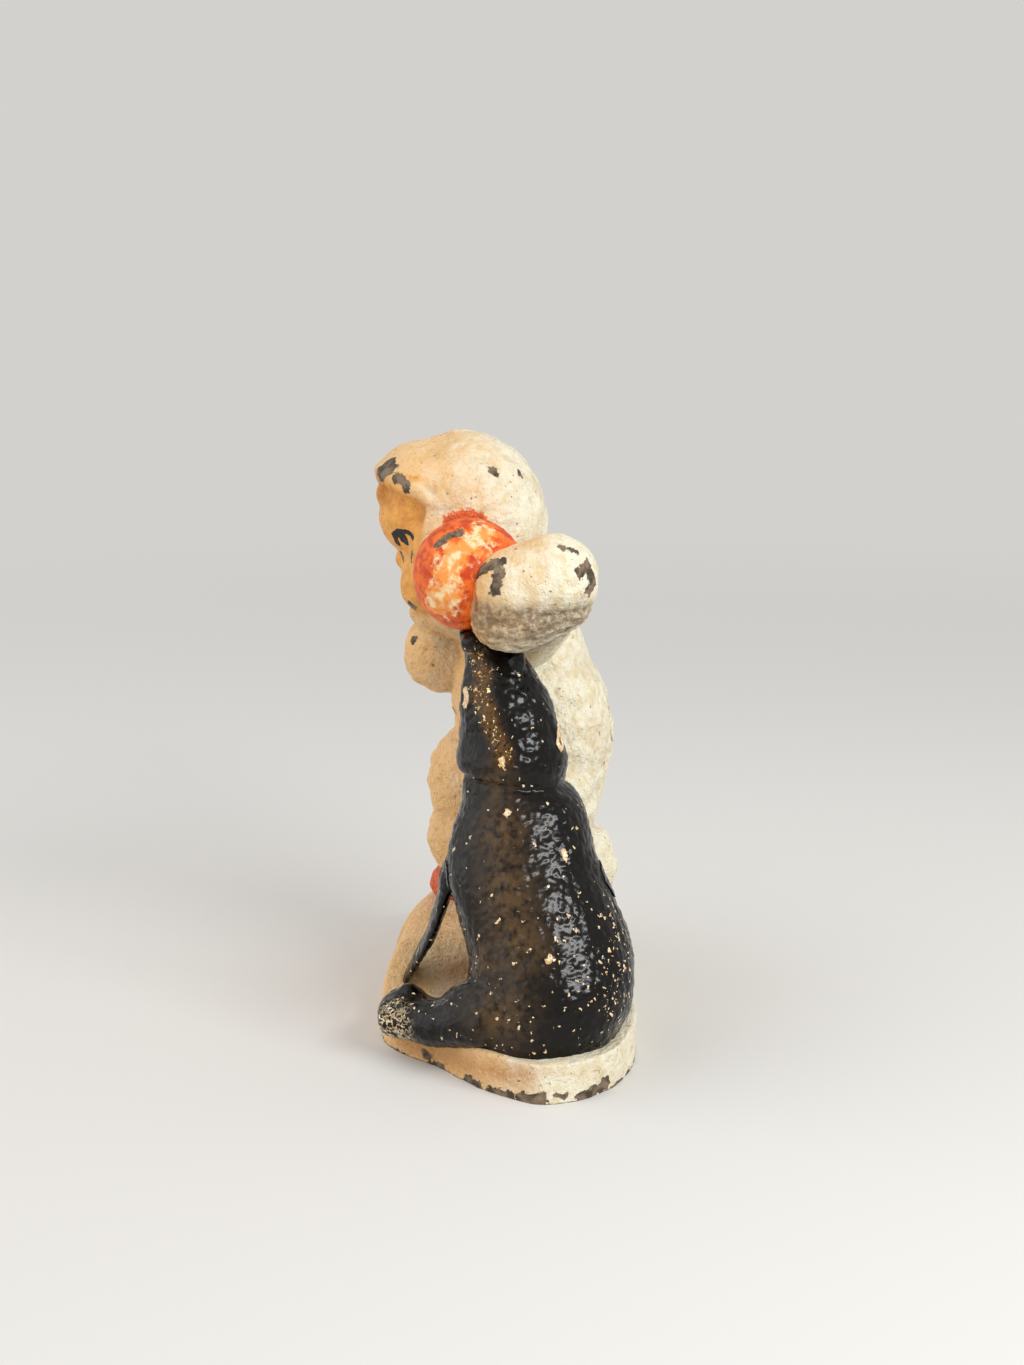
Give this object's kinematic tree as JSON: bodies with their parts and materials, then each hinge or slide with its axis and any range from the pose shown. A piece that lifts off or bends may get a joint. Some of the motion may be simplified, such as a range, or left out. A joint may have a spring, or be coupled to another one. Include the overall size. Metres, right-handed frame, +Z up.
{
  "type": "cast iron snow baby figurine",
  "caption": "Painted cast iron figurine of a hooded child who holds a ball to the nose of an upright seal, on one oval snowy base.",
  "frame": {"origin": "middle of the base's flat underside", "axes": "+Z up; the child faces -Y; its left side, where the seal sits, is +X"},
  "size_m": [0.0563, 0.029, 0.0648],
  "materials": {
    "cream_enamel": "worn cream enamel over cast iron",
    "black_enamel": "glossy black enamel over cast iron",
    "red_enamel": "worn red enamel over cast iron",
    "dark_steel": "dull dark steel"
  },
  "bodies": {
    "root": {"base": "cream_enamel", "child_front": "cream_enamel", "child_rear": "cream_enamel", "left_arm": "cream_enamel", "ball": "red_enamel", "seal_front": "black_enamel", "seal_rear": "black_enamel", "child_rivet": "cream_enamel", "seal_rivet": "black_enamel", "right_leg_screw": "dark_steel", "left_leg_screw": "dark_steel", "seal_screw": "dark_steel"}
  },
  "joints": []
}
